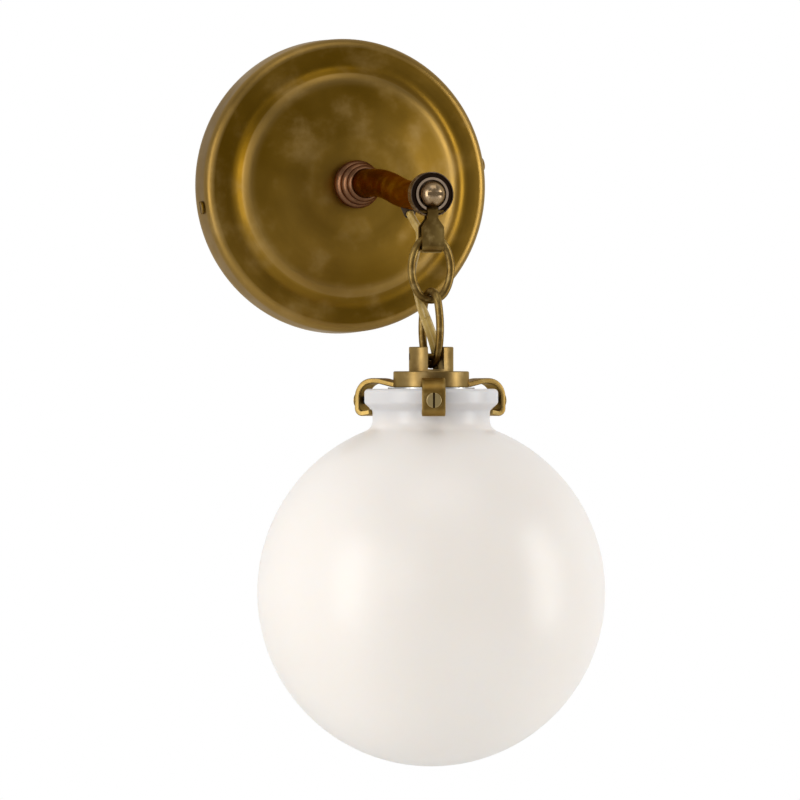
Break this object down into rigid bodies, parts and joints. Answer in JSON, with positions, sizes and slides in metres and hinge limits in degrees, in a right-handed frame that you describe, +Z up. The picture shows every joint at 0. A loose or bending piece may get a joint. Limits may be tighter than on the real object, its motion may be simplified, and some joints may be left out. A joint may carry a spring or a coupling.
{
  "type": "hanging pendant wall sconce",
  "caption": "Wall light with a round back plate, a short jogged arm and a chain that carries an opal glass globe in a clip holder, lampholder and lamp inside.",
  "frame": {"origin": "centre of the back plate's rear rim, on the wall's surface", "axes": "+Z up, +Y into the wall, +X along the wall; the arm points along -Y"},
  "size_m": [0.1524, 0.2202, 0.3258],
  "materials": {
    "antique_brass": "hand-rubbed antique brass, satin",
    "bright_brass": "plain brass",
    "steel": "zinc plated",
    "green_screw": "green coated",
    "opal_glass": "opal white, glossy",
    "lamp_glass": "frosted",
    "lamp_stem": "clear stem with wire supports",
    "socket_body": "dark phenolic",
    "bush": "dark",
    "cord": "gold two-core flat cord",
    "lead": "single cores of the cord",
    "connector": "orange twist-on caps"
  },
  "bodies": {
    "wall_part": {"backplate": "antique_brass", "wall_bar": "steel", "ground_screw": "green_screw", "nipple": "bright_brass", "lock_washer": "steel", "lock_nut": "bright_brass", "arm_collar": "antique_brass", "arm_tube": "antique_brass", "cord_bush": "bush", "arm_end_ring": "antique_brass", "hanger_pin": "antique_brass", "end_screw": "antique_brass", "arm_cord": "cord", "free_cord": "cord", "supply_lead_left": "lead", "supply_lead_right": "lead", "wire_connector_left": "connector", "wire_connector_right": "connector"},
    "strap": {"strap_link": "antique_brass"},
    "oval": {"oval_link": "antique_brass"},
    "lower": {"lower_link": "antique_brass"},
    "shade": {"chain_cup": "antique_brass", "cross_pin": "antique_brass", "holder_disc": "antique_brass", "clamp_washer": "steel", "ring_nut": "steel", "clip_1": "antique_brass", "clip_2": "antique_brass", "clip_3": "antique_brass", "glass_globe": "opal_glass", "holder_cap": "steel", "lampholder_body": "socket_body", "screw_shell": "bright_brass", "centre_contact": "bright_brass", "holder_cord": "cord"},
    "lamp": {"lamp_cap": "bright_brass", "lamp_glass": "lamp_glass", "lamp_stem": "lamp_stem"},
    "clip_screw_a": {"clip_screw_1": "antique_brass"},
    "clip_screw_b": {"clip_screw_2": "antique_brass"},
    "clip_screw_c": {"clip_screw_3": "antique_brass"},
    "side_screw_l": {"side_screw_left": "antique_brass"},
    "side_screw_r": {"side_screw_right": "antique_brass"}
  },
  "joints": [
    {"name": "strap_swing", "type": "hinge", "parent": "wall_part", "child": "strap", "pos_m": [0, -0.144, -0.0156], "axis": [-1, 0, 0], "range_deg": [-8, 25], "deforming": ["free_cord"]},
    {"name": "oval_swing", "type": "hinge", "parent": "strap", "child": "oval", "pos_m": [0, -0.144, -0.03439], "axis": [0, 1, 0], "range_deg": [-25, 25], "deforming": ["free_cord"]},
    {"name": "lower_swing", "type": "hinge", "parent": "oval", "child": "lower", "pos_m": [0, -0.144, -0.05788], "axis": [-0.9903, -0.1392, 0], "range_deg": [-6, 15], "deforming": ["free_cord"]},
    {"name": "shade_swing", "type": "hinge", "parent": "lower", "child": "shade", "pos_m": [0, -0.144, -0.07508], "axis": [-0.9903, -0.1392, 0], "range_deg": [-6, 15], "deforming": ["free_cord"]},
    {"name": "lamp_turn", "type": "hinge", "parent": "shade", "child": "lamp", "pos_m": [0, -0.144, -0.11813], "axis": [0, 0, -1], "range_deg": [0, 180]},
    {"name": "clip_screw_travel_a", "type": "slide", "parent": "shade", "child": "clip_screw_a", "axis": [-0.2689, -0.9632, 0], "range_m": [0, 0.005]},
    {"name": "clip_screw_travel_b", "type": "slide", "parent": "shade", "child": "clip_screw_b", "axis": [0.9686, 0.2487, 0], "range_m": [0, 0.005]},
    {"name": "clip_screw_travel_c", "type": "slide", "parent": "shade", "child": "clip_screw_c", "axis": [-0.6997, 0.7145, 0], "range_m": [0, 0.005]},
    {"name": "side_screw_travel_l", "type": "slide", "parent": "wall_part", "child": "side_screw_l", "axis": [-0.9877, 0, -0.1564], "range_m": [0, 0.006]},
    {"name": "side_screw_travel_r", "type": "slide", "parent": "wall_part", "child": "side_screw_r", "axis": [0.9877, 0, 0.1564], "range_m": [0, 0.006]}
  ]
}
